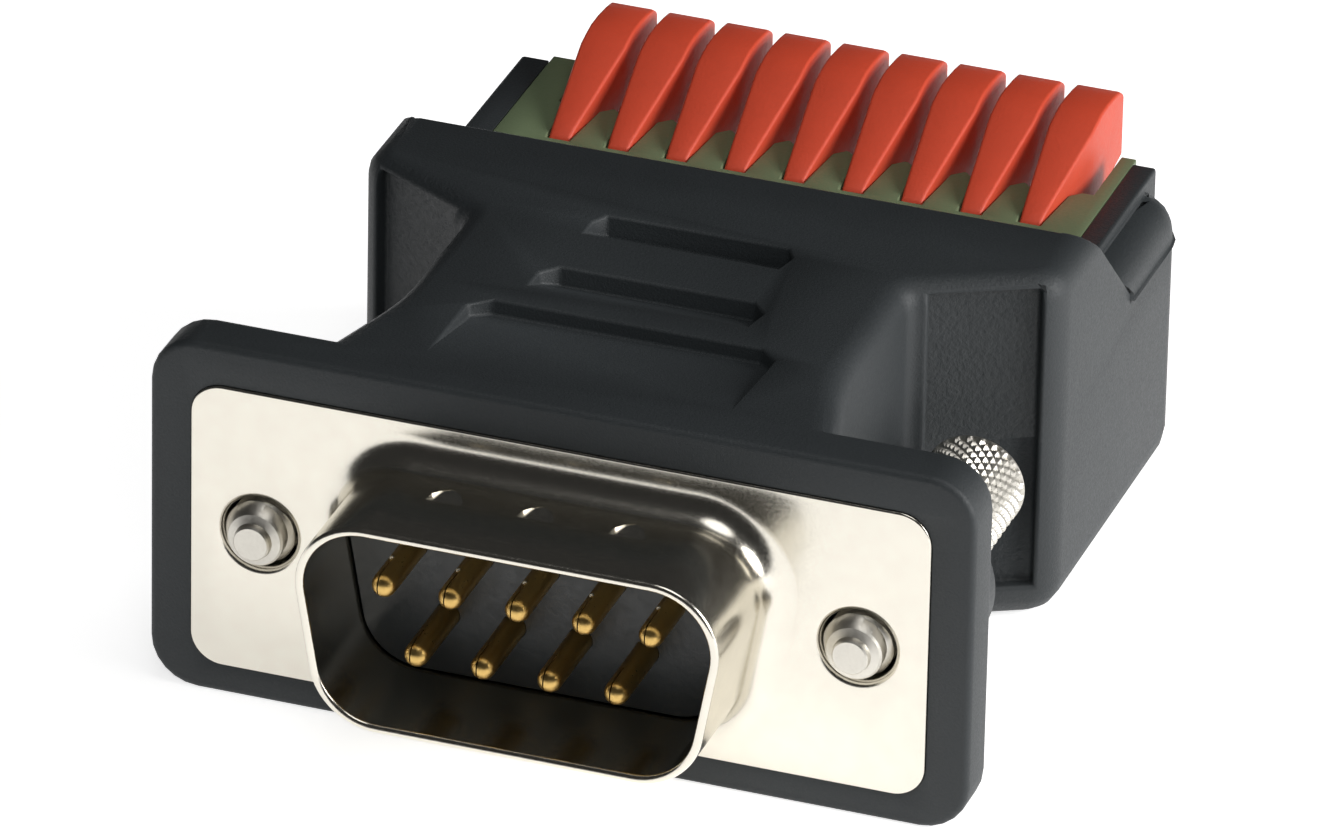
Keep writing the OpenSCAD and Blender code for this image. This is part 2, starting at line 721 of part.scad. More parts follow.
module terminal_contact(i) {
    path = [[bus_y[1], bus_z], [bus_y[0] + 0.5, bus_z], [bus_y[0], bus_z - 0.5], [bus_y[0], tail_end]];
    color("#d7d2c4") at_pole(i) difference() {
        across(contact_w) polygon(strip(path, contact_t));
        box([-foot_w / 2 - slack, foot_y - 1.6, bus_z - cut],
            [foot_w / 2 + slack, foot_y + 0.8, bus_z + cut]);
        both_sides() box([0.4, bus_y[0] - cut, -2 * flange_drop],
            [contact_w, bus_y[0] + cut, chamber_z + fit]);
    }
}

upper_shell();
lower_shell();
plug_shell();
rear_bracket();
front_insulator();
rear_insulator();
circuit_board();
terminal_block();
thumbscrew(-1);  // left_thumbscrew
thumbscrew(1);  // right_thumbscrew
contact_pin(1);  // contact_pin_1
contact_pin(2);  // contact_pin_2
contact_pin(3);  // contact_pin_3
contact_pin(4);  // contact_pin_4
contact_pin(5);  // contact_pin_5
contact_pin(6);  // contact_pin_6
contact_pin(7);  // contact_pin_7
contact_pin(8);  // contact_pin_8
contact_pin(9);  // contact_pin_9
lever(1);  // lever_1
lever(2);  // lever_2
lever(3);  // lever_3
lever(4);  // lever_4
lever(5);  // lever_5
lever(6);  // lever_6
lever(7);  // lever_7
lever(8);  // lever_8
lever(9);  // lever_9
clamp_spring(1);  // clamp_spring_1
clamp_spring(2);  // clamp_spring_2
clamp_spring(3);  // clamp_spring_3
clamp_spring(4);  // clamp_spring_4
clamp_spring(5);  // clamp_spring_5
clamp_spring(6);  // clamp_spring_6
clamp_spring(7);  // clamp_spring_7
clamp_spring(8);  // clamp_spring_8
clamp_spring(9);  // clamp_spring_9
terminal_contact(1);  // terminal_contact_1
terminal_contact(2);  // terminal_contact_2
terminal_contact(3);  // terminal_contact_3
terminal_contact(4);  // terminal_contact_4
terminal_contact(5);  // terminal_contact_5
terminal_contact(6);  // terminal_contact_6
terminal_contact(7);  // terminal_contact_7
terminal_contact(8);  // terminal_contact_8
terminal_contact(9);  // terminal_contact_9
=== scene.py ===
"""Dresses the nine-way D plug to lever terminal adapter and lights it for a picture."""

import json
import math

import bmesh
import bpy
from bpy.props import FloatProperty, FloatVectorProperty, IntProperty, PointerProperty, StringProperty
from mathutils import Matrix, Vector


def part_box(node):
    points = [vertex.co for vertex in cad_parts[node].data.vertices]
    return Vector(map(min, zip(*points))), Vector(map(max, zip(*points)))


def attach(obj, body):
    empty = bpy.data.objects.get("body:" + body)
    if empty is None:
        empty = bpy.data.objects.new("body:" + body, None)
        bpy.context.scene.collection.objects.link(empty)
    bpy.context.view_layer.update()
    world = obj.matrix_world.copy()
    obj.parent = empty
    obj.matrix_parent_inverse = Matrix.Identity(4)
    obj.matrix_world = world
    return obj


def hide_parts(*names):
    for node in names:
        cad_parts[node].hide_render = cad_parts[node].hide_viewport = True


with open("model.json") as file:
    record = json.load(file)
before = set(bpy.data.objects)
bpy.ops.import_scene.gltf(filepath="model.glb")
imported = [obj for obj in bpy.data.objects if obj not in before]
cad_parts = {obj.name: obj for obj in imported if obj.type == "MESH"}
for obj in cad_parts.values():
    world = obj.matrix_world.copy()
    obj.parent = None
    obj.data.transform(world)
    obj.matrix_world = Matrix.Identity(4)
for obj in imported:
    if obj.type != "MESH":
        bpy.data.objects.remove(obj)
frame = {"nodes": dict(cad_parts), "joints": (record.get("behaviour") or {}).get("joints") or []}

bl_info = {
    "name": "Lever terminal adapter",
    "version": (1, 0, 0),
    "blender": (4, 5, 0),
    "location": "3D View > Sidebar > Adapter",
    "description": "Builds the visible pieces of a D plug to lever terminal adapter round its frame",
    "category": "Object",
}

MM = 0.001
POLES = 9
UPPER_PINS = 5
HOUSING = "housing"


def node_box(node):
    """The lowest and highest corners of a node, in millimetres."""
    low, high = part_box(node)
    return Vector(low) / MM, Vector(high) / MM


def joint_place(name):
    """A joint's point, in millimetres."""
    joint = next(j for j in frame["joints"] if j["name"] == name)
    return Vector(joint["pos_m"]) / MM


BLOCK_LOW, BLOCK_HIGH = node_box("terminal_block")
COLLAR_LOW, COLLAR_HIGH = node_box("plug_shell")
SCREW_LOW, SCREW_HIGH = node_box("right_thumbscrew")

# Sizes that no node's box gives, in millimetres, as in the part
PIN_R = 0.51
PIN_PITCH = 2.77
ROW_Z = 1.42
PLATE_T = 0.5
COLLAR_INNER = (16.8, 8.25)
COLLAR_R = 2.5
COLLAR_WALL = 0.38
COLLAR_LEAN = math.radians(10)
COLLAR_DEPTH = 5.9
ROOT_R = 1.25
PLATE_R = 1.35
PLATE_HALF_H = 6.275
SCREW_X = 12.495
EYELET_R = 1.5625
EYELET_WALL = 0.3
EYELET_END = 1.35
HEAD_LENGTH = 7.9
THREAD_R = 1.4225
THREAD_END = 3.9
SHANK_R = 1.05
# Radius of a jackscrew's tip, and how far back from its end each radius is
TIP = ((0.0, 0.69), (0.06, 0.75), (0.3, 0.79), (0.33, 0.85), (0.42, 1.1), (0.52, 1.18), (1.0, THREAD_R))
# A pin's barrel and tail, and where the upper and the lower tails turn down
BARREL_R = 0.75
BARREL_ENDS = (0.6, 2.5)
INSULATOR_Y = (-1.0, 0.5, 1.1)
TAIL_R = 0.35
TAIL_BEND = 0.8
TAIL_Y = (12.7, 9.9)
# The half-moon dents in the collar: pitch, radius, straight edge and depth
DENT_PITCH = 3.8
DENT_R = 0.75
DENT_EDGE_Y = -2.65
DENT_LENGTH = 1.12
DENT_DEPTH = 0.32
# The joint between the shells, and the places where their edges are crisp
SPLIT_Z = 0.6
FRAME_Y = 0.1
BLOCK_TOP = 4.7
# The rough pocket in a shoulder, from the neck along the shoulder's slope
NECK_HALF = 9.4
BODY_HALF = 14.92
SHOULDER_Y = 14.85
SHOULDER_SLOPE = math.atan(0.533)
POCKET_DEPTH = 0.6
# A lever's thickness at the stem, and its hinge, in millimetres
LEVER_STEM = 0.9
LEVER_ROOT_R = 0.9
LEVER_PIN_R = 0.5
LEVER_PIN_HALF = 0.97
LEVER_FOOT_HALF = 0.35
LEVER_SPREAD = (0.5, 5.7)
# Sections of a lever from front to rear: along, bottom and top from its hinge
LEVER_SECTIONS = (
    (-0.5, 0.0, 0.8), (-0.25, -0.3, 1.42), (0.15, -0.5, 2.44), (0.5, -0.6, 3.26), (1.0, -0.45, 3.52),
    (2.0, -0.15, 3.85), (2.9, 0.31, 4.14), (3.5, 0.66, 4.34), (4.1, 0.99, 4.54), (4.7, 1.13, 4.73),
    (5.2, 1.22, 4.9), (5.7, 1.3, 5.05), (6.3, 1.42, 5.22), (6.9, 1.55, 5.35), (7.7, 1.7, 5.37),
    (8.6, 1.88, 5.3), (9.25, 2.0, 5.2), (9.6, 2.07, 4.98), (9.75, 2.1, 4.8),
)
# Side view of a lever's foot, from its hinge
LEVER_FOOT = ((0.7, 0.0), (1.55, -2.3), (1.9, -2.52), (2.25, -2.3), (2.4, 0.1))
BASE_Z = node_box("lower_shell")[0].z
# A bead's place on its pin, from the pin's axis in X and Z; the bead is a painted highlight, a small dome that stands
# in for a glint of light
GLINT_BEAD_PLACE = (-0.197, -3.1, 0.47)


class AdapterSizes(bpy.types.PropertyGroup):
    """Sizes of the details that the frame leaves open."""
    edge: FloatProperty(
        name="Moulded edge", description="Radius along the housing's edges, in millimetres",
        default=0.14, min=0.02, max=0.3)
    block_edge: FloatProperty(
        name="Block edge", description="Radius along the terminal block's edges, in millimetres",
        default=0.06, min=0.01, max=0.1)
    lever_edge: FloatProperty(
        name="Lever edge", description="Radius along the levers' edges, in millimetres",
        default=0.13, min=0.05, max=0.3)
    knurl_starts: IntProperty(
        name="Knurl starts", description="Grooves round a thumbscrew's head, each way",
        default=24, min=12, max=40)
    knurl_depth: FloatProperty(
        name="Knurl depth", description="Depth of the knurl's grooves, in millimetres",
        default=0.2, min=0.02, max=0.3)
    thread_pitch: FloatProperty(
        name="Thread pitch", description="Pitch of the jackscrew thread, in millimetres",
        default=0.635, min=0.4, max=0.8)
    thread_depth: FloatProperty(
        name="Thread depth", description="Depth of the jackscrew thread, in millimetres",
        default=0.3, min=0.1, max=0.4)
    # The bead is a painted highlight: a small tin dome that stands in for a glint of light on each upper pin
    bead: FloatProperty(
        name="Glint bead", description="Diameter of the bright bead on an upper pin, in millimetres",
        default=0.2, min=0.05, max=0.4)


class AdapterColours(bpy.types.PropertyGroup):
    """Colours of the finishes, as sRGB hex values."""
    housing: StringProperty(name="Housing", description="Black grained ABS", default="#2A2E30")
    nickel: StringProperty(name="Nickel", description="Bright nickel plate", default="#DCD7CB")
    screw: StringProperty(name="Screw", description="Nickel on turned steel", default="#CFCBC2")
    gold: StringProperty(name="Gold", description="Gold flash on the pins", default="#D2AF6A")
    insulator: StringProperty(name="Insulator", description="Glass-filled polyester", default="#2E3132")
    block: StringProperty(name="Block", description="Olive polyamide", default="#6C7A5B")
    lever: StringProperty(name="Lever", description="Orange polyamide", default="#D64B2F")
    board: StringProperty(name="Board", description="Solder mask", default="#1F5A3A")
    steel: StringProperty(name="Spring", description="Stainless spring strip", default="#C4C4C2")
    tin: StringProperty(name="Tin", description="Matte tin on copper", default="#CFCBBF")
    floor: StringProperty(name="Floor", description="Paper under the adapter", default="#FFFFFF")


class AdapterStage(bpy.types.PropertyGroup):
    """The camera and the lamps."""
    azimuth: FloatProperty(
        name="Azimuth", description="Camera's place round the adapter", default=math.radians(19.062),
        subtype="ANGLE")
    elevation: FloatProperty(
        name="Elevation", description="Camera's height above the horizon", default=math.radians(28.286),
        subtype="ANGLE")
    roll: FloatProperty(
        name="Roll", description="Camera's turn about its own axis", default=math.radians(1.193),
        subtype="ANGLE")
    distance: FloatProperty(
        name="Distance", description="From the camera to its target", default=0.5469, unit="LENGTH")
    focal: FloatProperty(
        name="Focal length", description="Focal length on a 36 mm wide sensor, in millimetres",
        default=383.07, min=50, max=600)
    target: FloatVectorProperty(
        name="Target", description="Point that the camera looks at", default=(0.004209, 0, 0.008605),
        unit="LENGTH")


# Materials

def linear(code):
    """An sRGB hex value as linear red, green, blue and alpha."""
    parts = [int(code[i:i + 2], 16) / 255 for i in (1, 3, 5)]
    return [c / 12.92 if c <= 0.04045 else ((c + 0.055) / 1.055) ** 2.4 for c in parts] + [1.0]


def shade(code, factor):
    """A hex value made lighter or darker."""
    return [min(c * factor, 1.0) for c in linear(code)[:3]] + [1.0]


def add(tree, kind, settings=None, **links):
    """Adds a node, sets what is named in settings and links or fills its inputs."""
    node = tree.nodes.new(kind)
    for key, value in (settings or {}).items():
        setattr(node, key, value)
    for name, value in links.items():
        if name[-1].isdigit() and name[:-1] == "in":
            socket = node.inputs[int(name[-1])]
        else:
            socket = node.inputs[name.replace("_", " ")]
        if isinstance(value, bpy.types.NodeSocket):
            tree.links.new(value, socket)
        else:
            socket.default_value = value
    return node


def new_material(name):
    """An empty material with its shader and output, and the place on the object."""
    material = bpy.data.materials.new(name)
    material.use_nodes = True
    tree = material.node_tree
    tree.nodes.clear()
    shader = tree.nodes.new("ShaderNodeBsdfPrincipled")
    output = tree.nodes.new("ShaderNodeOutputMaterial")
    tree.links.new(shader.outputs["BSDF"], output.inputs["Surface"])
    place = tree.nodes.new("ShaderNodeTexCoord").outputs["Object"]
    return material, tree, shader, place


def ramp(tree, value, low, high, start=0.0, end=1.0):
    """Maps a value onto a range of numbers."""
    node = add(tree, "ShaderNodeMapRange", None, Value=value)
    node.inputs["From Min"].default_value = start
    node.inputs["From Max"].default_value = end
    node.inputs["To Min"].default_value = low
    node.inputs["To Max"].default_value = high
    return node.outputs["Result"]


def tinted(tree, value, dark, light):
    """Mixes two colours by a value."""
    mix = add(tree, "ShaderNodeMix", {"data_type": "RGBA"})
    tree.links.new(value, mix.inputs[0])
    mix.inputs[6].default_value = dark
    mix.inputs[7].default_value = light
    return mix.outputs[2]


def noise(tree, place, size_mm, detail=2.0, roughness=0.5):
    """Noise whose grains are about size_mm across."""
    return add(tree, "ShaderNodeTexNoise", None, Vector=place, Scale=1 / (size_mm * MM),
               Detail=detail, Roughness=roughness).outputs["Fac"]


def bump(tree, shader, height, depth_mm, strength=1.0, below=None):
    """Bumps the shader's surface by a height in millimetres."""
    node = add(tree, "ShaderNodeBump", None, Height=height, Distance=depth_mm * MM, Strength=strength)
    if below is not None:
        tree.links.new(below, node.inputs["Normal"])
    tree.links.new(node.outputs["Normal"], shader.inputs["Normal"])
    return node.outputs["Normal"]


def grained_abs(name, colour, grain_mm, depth_mm, roughness, mottle=0.12):
    """ABS from a spark-eroded mould: a dull, finely pitted skin with a faint broad unevenness."""
    material, tree, shader, place = new_material(name)
    grain = noise(tree, place, grain_mm, 3.0, 0.6)
    cloud = noise(tree, place, 3.0, 2.0)
    tree.links.new(tinted(tree, cloud, shade(colour, 1 - mottle), shade(colour, 1 + mottle)),
                   shader.inputs["Base Color"])
    tree.links.new(ramp(tree, grain, roughness - 0.06, roughness + 0.08, 0.3, 0.7),
                   shader.inputs["Roughness"])
    shader.inputs["IOR"].default_value = 1.5
    bump(tree, shader, grain, depth_mm)
    return material


def satin_nylon(name, colour, grain_mm=0.14, depth_mm=0.012, roughness=0.5):
    """Polyamide from a lightly blasted mould: satin, its colour varied by a random cloudy tone and by painted shade
    that darkens it in the pits of the grain.
    """
    material, tree, shader, place = new_material(name)
    grain = noise(tree, place, grain_mm, 3.0, 0.6)
    cloud = noise(tree, place, 1.6, 2.0)
    # Painted shade: the colour is darker where the grain's bumps are low, mixed with a random cloudy tone
    cloud_and_pit_shade = add(tree, "ShaderNodeMath", {"operation": "MULTIPLY_ADD"}, in0=grain, in1=0.5)
    tree.links.new(ramp(tree, cloud, 0.0, 0.5), cloud_and_pit_shade.inputs[2])
    tree.links.new(tinted(tree, cloud_and_pit_shade.outputs[0], shade(colour, 0.86), shade(colour, 1.12)),
                   shader.inputs["Base Color"])
    tree.links.new(ramp(tree, grain, roughness - 0.05, roughness + 0.07, 0.3, 0.7),
                   shader.inputs["Roughness"])
    shader.inputs["IOR"].default_value = 1.53
    bump(tree, shader, grain, depth_mm)
    return material


def plated_metal(name, colour, roughness, wave_mm=0.9, wave_depth=0.004, grain_depth=0.0008):
    """Bright plate over drawn or turned metal: a mirror broken by slow waves and a fine haze."""
    material, tree, shader, place = new_material(name)
    wave = noise(tree, place, wave_mm, 2.0)
    haze = noise(tree, place, 0.12, 3.0, 0.6)
    tree.links.new(tinted(tree, wave, shade(colour, 0.94), shade(colour, 1.04)),
                   shader.inputs["Base Color"])
    shader.inputs["Metallic"].default_value = 1.0
    tree.links.new(ramp(tree, haze, roughness * 0.8, roughness * 1.3, 0.3, 0.7),
                   shader.inputs["Roughness"])
    slow = add(tree, "ShaderNodeBump", None, Height=wave, Distance=wave_depth * MM, Strength=1.0)
    bump(tree, shader, haze, grain_depth, 1.0, slow.outputs["Normal"])
    return material


def solder_mask(name, colour):
    """Epoxy mask over a glass laminate: glossy green with the weave faintly showing through."""
    material, tree, shader, place = new_material(name)
    weave = add(tree, "ShaderNodeTexWave", {"wave_type": "BANDS", "bands_direction": "DIAGONAL"},
                Vector=place, Scale=1 / (0.5 * MM), Distortion=0.6)
    tree.links.new(tinted(tree, weave.outputs["Fac"], shade(colour, 0.88), shade(colour, 1.1)),
                   shader.inputs["Base Color"])
    shader.inputs["Roughness"].default_value = 0.28
    bump(tree, shader, weave.outputs["Fac"], 0.004)
    return material


FINISHES = {}


def finish(key):
    """The material of that key, made once."""
    colours = bpy.context.scene.adapter_colours
    makers = {
        "housing": lambda: grained_abs("Grained ABS", colours.housing, 0.11, 0.018, 0.56),
        "pocket": lambda: grained_abs("Coarse grained ABS", colours.housing, 0.22, 0.05, 0.55),
        "insulator": lambda: grained_abs("Glass-filled polyester", colours.insulator, 0.3, 0.01, 0.36),
        "block": lambda: satin_nylon("Olive polyamide", colours.block),
        "lever": lambda: satin_nylon("Orange polyamide", colours.lever),
        "nickel": lambda: plated_metal("Bright nickel on drawn steel", colours.nickel, 0.2),
        # The bead finish goes on the small domes that stand in for glints on the upper pins, a painted highlight
        "bead": lambda: plated_metal("Bright tin bead", colours.tin, 0.45, 0.4, 0.0),
        "screw": lambda: plated_metal("Nickel on turned steel", colours.screw, 0.38, 0.6, 0.001),
        "gold": lambda: plated_metal("Gold flash on brass", colours.gold, 0.34, 0.4, 0.001),
        "steel": lambda: plated_metal("Rolled stainless strip", colours.steel, 0.3),
        "tin": lambda: plated_metal("Matte tin on copper", colours.tin, 0.4),
        "board": lambda: solder_mask("Solder mask on glass laminate", colours.board),
    }
    if key not in FINISHES:
        FINISHES[key] = makers[key]()
    return FINISHES[key]


# Meshes

def add_object(name, mesh):
    """Links a new object that holds the mesh."""
    piece = bpy.data.objects.new(name, mesh)
    bpy.context.scene.collection.objects.link(piece)
    return piece


def bake_modifiers(piece):
    """Turns what the modifiers make into the object's own mesh."""
    graph = bpy.context.evaluated_depsgraph_get()
    mesh = bpy.data.meshes.new_from_object(piece.evaluated_get(graph))
    piece.modifiers.clear()
    old = piece.data
    piece.data = mesh
    bpy.data.meshes.remove(old)


def smooth(piece, degrees=35):
    """Smooth shading, with a crease where faces meet at more than the angle."""
    mesh = piece.data
    mesh.shade_smooth()
    mesh.set_sharp_from_angle(angle=math.radians(degrees))


def merged_copy(node, name):
    """A copy of a node's mesh with its loose triangles merged into flat faces."""
    piece = add_object(name, frame["nodes"][node].data.copy())
    bm = bmesh.new()
    bm.from_mesh(piece.data)
    bmesh.ops.remove_doubles(bm, verts=bm.verts, dist=2e-6)
    bmesh.ops.dissolve_limit(bm, angle_limit=math.radians(1.0), verts=bm.verts, edges=bm.edges)
    bm.to_mesh(piece.data)
    bm.free()
    return piece


def round_edges(piece, radius_mm, segments=2, degrees=35, share=None):
    """Rounds the edges that are sharper than the angle, each by its share of the radius."""
    mesh = piece.data
    bm = bmesh.new()
    bm.from_mesh(mesh)
    weight = bm.edges.layers.float.new("bevel_weight_edge")
    for edge in bm.edges:
        if len(edge.link_faces) == 2 and edge.calc_face_angle(0) > math.radians(degrees):
            edge[weight] = share(*[v.co / MM for v in edge.verts]) if share else 1.0
    bm.to_mesh(mesh)
    bm.free()
    bevel = piece.modifiers.new("Edges", "BEVEL")
    bevel.width = radius_mm * MM
    bevel.segments = segments
    bevel.limit_method = "WEIGHT"
    bevel.use_clamp_overlap = False
    bevel.harden_normals = False
    bake_modifiers(piece)


def paint(piece, *keys):
    """Gives a piece its materials."""
    piece.data.materials.clear()
    for key in keys:
        piece.data.materials.append(finish(key))


def dress(piece, body, slot, *nodes):
    """Puts a piece on its body, in the place of the nodes that it stands for."""
    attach(piece, body)
    if nodes:
        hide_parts(*nodes)


def mesh_from(name, points, faces):
    """A new object from points in millimetres and faces."""
    mesh = bpy.data.meshes.new(name)
    mesh.from_pydata([Vector(p) * MM for p in points], [], faces)
    return add_object(name, mesh)


def tidy_normals(piece):
    """Merges doubled points and turns all faces outwards."""
    bm = bmesh.new()
    bm.from_mesh(piece.data)
    bmesh.ops.remove_doubles(bm, verts=bm.verts, dist=1e-6)
    bmesh.ops.recalc_face_normals(bm, faces=bm.faces)
    bm.to_mesh(piece.data)
    bm.free()


def combine(piece, other, operation):
    """Adds, cuts or intersects another object, which is used up."""
    tool = piece.modifiers.new("Combine", "BOOLEAN")
    tool.object = other
    tool.operation = operation
    tool.solver = "EXACT"
    bake_modifiers(piece)
    bpy.data.objects.remove(other)


def loft(name, rings, closed_ends=True):
    """A skin over rings that have the same number of points."""
    count = len(rings[0])
    points = [p for ring in rings for p in ring]
    faces = []
    for k in range(len(rings) - 1):
        for i in range(count):
            j = (i + 1) % count
            faces.append((k * count + i, k * count + j, (k + 1) * count + j, (k + 1) * count + i))
    if closed_ends:
        faces.append(tuple(reversed(range(count))))
        faces.append(tuple((len(rings) - 1) * count + i for i in range(count)))
    piece = mesh_from(name, points, faces)
    tidy_normals(piece)
    return piece


def lathe(name, profile, columns):
    """A solid of revolution about the Y axis, from (y, radius) points that begin and end at radius 0."""
    rings = []
    for y, radius in profile:
        rings.append([(radius * math.cos(math.tau * i / columns), y, radius * math.sin(math.tau * i / columns))
                      for i in range(columns)])
    return loft(name, rings, False)


def rounded(corners, count=12):
    """Points along an outline of (x, z, radius) corners, with an arc at each corner."""
    points = []
    for i, (x, z, radius) in enumerate(corners):
        b, a, c = (Vector(corners[k % len(corners)][:2]) for k in (i, i - 1, i + 1))
        u, v = (a - b).normalized(), (c - b).normalized()
        half = u.angle(v) / 2
        centre = b + (u + v).normalized() * radius / math.sin(half)
        first, last = (b + side * radius / math.tan(half) - centre for side in (u, v))
        start = math.atan2(first.y, first.x)
        sweep = (math.atan2(last.y, last.x) - start + math.pi) % math.tau - math.pi
        points += [(centre.x + radius * math.cos(start + sweep * k / count),
                    centre.y + radius * math.sin(start + sweep * k / count)) for k in range(count + 1)]
    return points


def mirrored(corners):
    """The outline's right half and its mirror image."""
    return corners + [(-x, z, radius) for x, z, radius in reversed(corners)]


def d_ring(y, grown):
    """A ring of the collar's D at a depth, grown outwards from its inside."""
    half, radius = COLLAR_INNER[1] / 2 + grown, COLLAR_R + grown
    lean = math.tan(COLLAR_LEAN) * 2 * half
    wide = COLLAR_INNER[0] / 2 - COLLAR_R + radius / math.tan((math.pi / 2 - COLLAR_LEAN) / 2)
    corners = mirrored([(wide - lean, -half, radius), (wide, half, radius)])
    return [(x, y, z) for x, z in rounded(corners, 16)]


def arc(centre, radius, start, end, count):
    """Points of an arc between two angles in degrees."""
    angles = [math.radians(start + (end - start) * k / count) for k in range(count + 1)]
    return [(centre[0] + radius * math.cos(a), centre[1] + radius * math.sin(a)) for a in angles]


def sweep(name, path, columns=24):
    """A round rod in the YZ plane, along (y, z, radius) points."""
    rings = []
    for i, (y, z, radius) in enumerate(path):
        before, after = path[max(i - 1, 0)], path[min(i + 1, len(path) - 1)]
        along = Vector((0, after[0] - before[0], after[1] - before[1])).normalized()
        side = Vector((1, 0, 0))
        up = side.cross(along)
        rings.append([Vector((0, y, z)) + radius * (math.cos(math.tau * k / columns) * side
                      + math.sin(math.tau * k / columns) * up) for k in range(columns)])
    return loft(name, rings)


def spaced(first, last, step):
    """Points from first to last at about equal steps."""
    first, last = Vector(first), Vector(last)
    count = max(round((last - first).length / step), 1)
    return [tuple(first.lerp(last, i / count)) for i in range(count + 1)]


# Geometry Nodes

def new_tree(name, **inputs):
    """A geometry node tree with named number inputs, and its input node."""
    tree = bpy.data.node_groups.new(name, "GeometryNodeTree")
    tree.is_modifier = True
    tree.interface.new_socket("Geometry", in_out="INPUT", socket_type="NodeSocketGeometry")
    for label, default in inputs.items():
        kind = {int: "NodeSocketInt", float: "NodeSocketFloat"}.get(type(default), "NodeSocketObject")
        socket = tree.interface.new_socket(label.replace("_", " "), in_out="INPUT", socket_type=kind)
        if default is not None:
            socket.default_value = default
    tree.interface.new_socket("Geometry", in_out="OUTPUT", socket_type="NodeSocketGeometry")
    return tree, tree.nodes.new("NodeGroupInput")


def close_tree(tree, geometry, key):
    """Ends a tree with real meshes and their material."""
    real = add(tree, "GeometryNodeRealizeInstances", None, Geometry=geometry)
    painted = add(tree, "GeometryNodeSetMaterial", None, Geometry=real.outputs[0])
    painted.inputs["Material"].default_value = finish(key)
    add(tree, "NodeGroupOutput", None, Geometry=painted.outputs[0])


def apply_tree(piece, tree, **values):
    """Runs a tree on a piece with the given inputs and keeps the result as its mesh."""
    modifier = piece.modifiers.new(tree.name, "NODES")
    modifier.node_group = tree
    for item in tree.interface.items_tree:
        key = item.name.replace(" ", "_")
        if item.in_out == "INPUT" and key in values:
            modifier[item.identifier] = values[key]
    bake_modifiers(piece)


def maths(tree, operation, *values):
    """A math node on numbers or sockets."""
    links = {f"in{i}": value for i, value in enumerate(values)}
    return add(tree, "ShaderNodeMath", {"operation": operation}, **links).outputs[0]


def ridge(tree, turns):
    """A wave that is 1 in the middle of each groove and 0 on the ridge, once a turn."""
    part = maths(tree, "FRACT", turns)
    return maths(tree, "ABSOLUTE", maths(tree, "MULTIPLY_ADD", part, 2.0, -1.0))


def groove_tree(name, cross):
    """Cuts helical V grooves into a bar that lies along Y; crossing grooves make diamonds."""
    tree, group = new_tree(name, Radius=1.0, Start=0.0, End=1.0, Starts=1.0, Pitch=1.0, Depth=0.1,
                           Flat=0.1)
    value = group.outputs
    place = tree.nodes.new("GeometryNodeInputPosition").outputs[0]
    split = add(tree, "ShaderNodeSeparateXYZ", None, Vector=place)
    x, y, z = split.outputs
    turn = maths(tree, "DIVIDE", maths(tree, "ARCTAN2", z, x), math.tau)
    around = maths(tree, "MULTIPLY", turn, value["Starts"])
    along = maths(tree, "DIVIDE", y, value["Pitch"])
    cut = ridge(tree, maths(tree, "ADD", around, along))
    if cross:
        cut = maths(tree, "MAXIMUM", cut, ridge(tree, maths(tree, "SUBTRACT", around, along)))
    cut = maths(tree, "MAXIMUM", maths(tree, "SUBTRACT", cut, value["Flat"]), 0.0)
    radius = maths(tree, "SQRT", maths(tree, "ADD", maths(tree, "MULTIPLY", x, x), maths(tree, "MULTIPLY", z, z)))
    outside = maths(tree, "GREATER_THAN", radius, maths(tree, "MULTIPLY", value["Radius"], 0.98))
    after = maths(tree, "GREATER_THAN", y, value["Start"])
    before = maths(tree, "LESS_THAN", y, value["End"])
    inside = maths(tree, "MULTIPLY", maths(tree, "MULTIPLY", after, before), outside)
    amount = maths(tree, "MULTIPLY", maths(tree, "MULTIPLY", cut, value["Depth"]), inside)
    factor = maths(tree, "DIVIDE", maths(tree, "MULTIPLY", amount, -1.0), radius)
    flat = add(tree, "ShaderNodeCombineXYZ", None, X=x, Z=z)
    offset = add(tree, "ShaderNodeVectorMath", {"operation": "SCALE"}, Vector=flat.outputs[0], Scale=factor)
    moved = add(tree, "GeometryNodeSetPosition", None, Geometry=value["Geometry"],
                Offset=offset.outputs[0])
    close_tree(tree, moved.outputs[0], "screw")
    return tree


def row_tree(name, key):
    """Repeats an object along X."""
    tree, group = new_tree(name, Item=None, Count=1, First_X=0.0, Spacing=1.0, Y=0.0, Z=0.0)
    value = group.outputs
    start = add(tree, "ShaderNodeCombineXYZ", None, X=value["First X"], Y=value["Y"], Z=value["Z"])
    step = add(tree, "ShaderNodeCombineXYZ", None, X=value["Spacing"])
    line = add(tree, "GeometryNodeMeshLine", {"mode": "OFFSET"}, Count=value["Count"],
               Start_Location=start.outputs[0], Offset=step.outputs[0])
    item = add(tree, "GeometryNodeObjectInfo", None, Object=value["Item"])
    spread = add(tree, "GeometryNodeInstanceOnPoints", None, Points=line.outputs[0],
                 Instance=item.outputs["Geometry"])
    close_tree(tree, spread.outputs[0], key)
    return tree


# Housing

